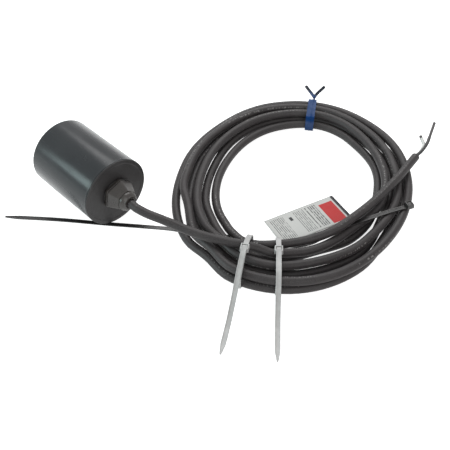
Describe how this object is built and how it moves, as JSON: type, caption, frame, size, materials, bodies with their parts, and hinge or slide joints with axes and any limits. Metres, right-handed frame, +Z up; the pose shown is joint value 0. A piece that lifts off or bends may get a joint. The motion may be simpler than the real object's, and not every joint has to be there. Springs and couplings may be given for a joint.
{
  "type": "float switch",
  "caption": "Tethered float switch for a pump: a cylindrical float with a cord gland, a rolling ball that trips a snap switch inside, and a coiled, tied two-core cord.",
  "frame": {"origin": "bottom centre of the box round the float and its gland, on the surface that the float lies on", "axes": "+X along the float's axis from its blind end to its cord gland, +Z up, and the cord's coil lies towards +X and +Y"},
  "size_m": [0.32, 0.4084, 0.072],
  "materials": {
    "float_gloss": "glossy moulded plastic, dark blue-grey",
    "cap_matte": "satin moulded plastic, dark grey",
    "gland_plastic": "satin moulded nylon, black",
    "seal_rubber": "matt black rubber",
    "jacket_rubber": "matt charcoal rubber jacket",
    "chassis_plastic": "plain moulded plastic, ivory",
    "lever_plastic": "plain moulded acetal, orange",
    "switch_plastic": "moulded phenolic, black",
    "plunger_plastic": "moulded acetal, red",
    "steel": "zinc-plated steel",
    "ball_steel": "polished bearing steel",
    "contact_copper": "beryllium copper spring",
    "contact_silver": "silver alloy contact",
    "terminal_brass": "brass strip",
    "socket_plastic": "nylon sleeve",
    "core_black_pvc": "black insulation",
    "core_white_pvc": "white insulation",
    "strand_copper": "bare copper strands, dull tinned grey",
    "nylon_natural": "natural nylon",
    "nylon_black": "black nylon",
    "twist_blue": "blue plastic-coated wire",
    "label_film": "white label film"
  },
  "bodies": {
    "float": {"float_shell": "float_gloss", "end_cap": "cap_matte", "cap_seal": "seal_rubber", "gland_washer": "seal_rubber", "gland_body": "gland_plastic", "gland_nut": "gland_plastic", "gland_grommet": "seal_rubber", "gland_locknut": "gland_plastic", "cord_inner_end": "jacket_rubber", "switch_chassis": "chassis_plastic", "chassis_screws": "steel", "tunnel_plug": "seal_rubber", "lever_pin": "steel", "switch_case": "switch_plastic", "switch_cover": "switch_plastic", "switch_screws": "steel", "fixed_contact": "contact_silver", "terminal_common": "terminal_brass", "terminal_load": "terminal_brass", "wire_sockets": "socket_plastic", "wire_black": "core_black_pvc", "wire_white": "core_white_pvc", "cord_lead": "jacket_rubber", "cord_coil": "jacket_rubber", "cord_tail": "jacket_rubber", "core_black": "core_black_pvc", "core_white": "core_white_pvc", "strands_black": "strand_copper", "strands_white": "strand_copper", "tie_near": "nylon_natural", "tie_far": "nylon_natural", "tie_long": "nylon_black", "twist_tie": "twist_blue", "tag": "label_film"},
    "ball": {"steel_ball": "ball_steel"},
    "lever": {"cam_lever": "lever_plastic"},
    "plunger": {"plunger": "plunger_plastic"},
    "contact": {"moving_contact": "contact_copper"}
  },
  "joints": [
    {"name": "ball_roll", "type": "slide", "parent": "float", "child": "ball", "axis": [1, 0, 0], "range_m": [0, 0.024]},
    {"name": "lever_tip", "type": "hinge", "parent": "float", "child": "lever", "pos_m": [-0.03, 0, 0.0389], "axis": [0, -1, 0], "range_deg": [0, 6]},
    {"name": "plunger_push", "type": "slide", "parent": "float", "child": "plunger", "axis": [0, 0, 1], "range_m": [0, 0.00126]},
    {"name": "contact_close", "type": "hinge", "parent": "float", "child": "contact", "pos_m": [0.0005, 0, 0.05204], "axis": [0, 1, 0], "range_deg": [0, 3.9]}
  ],
  "couplings": [
    {"joint": "lever_tip", "follows": "ball_roll", "rad_per_m": 4.36},
    {"joint": "plunger_push", "follows": "ball_roll", "ratio": 0.05226},
    {"joint": "contact_close", "follows": "ball_roll", "rad_per_m": 2.827}
  ]
}
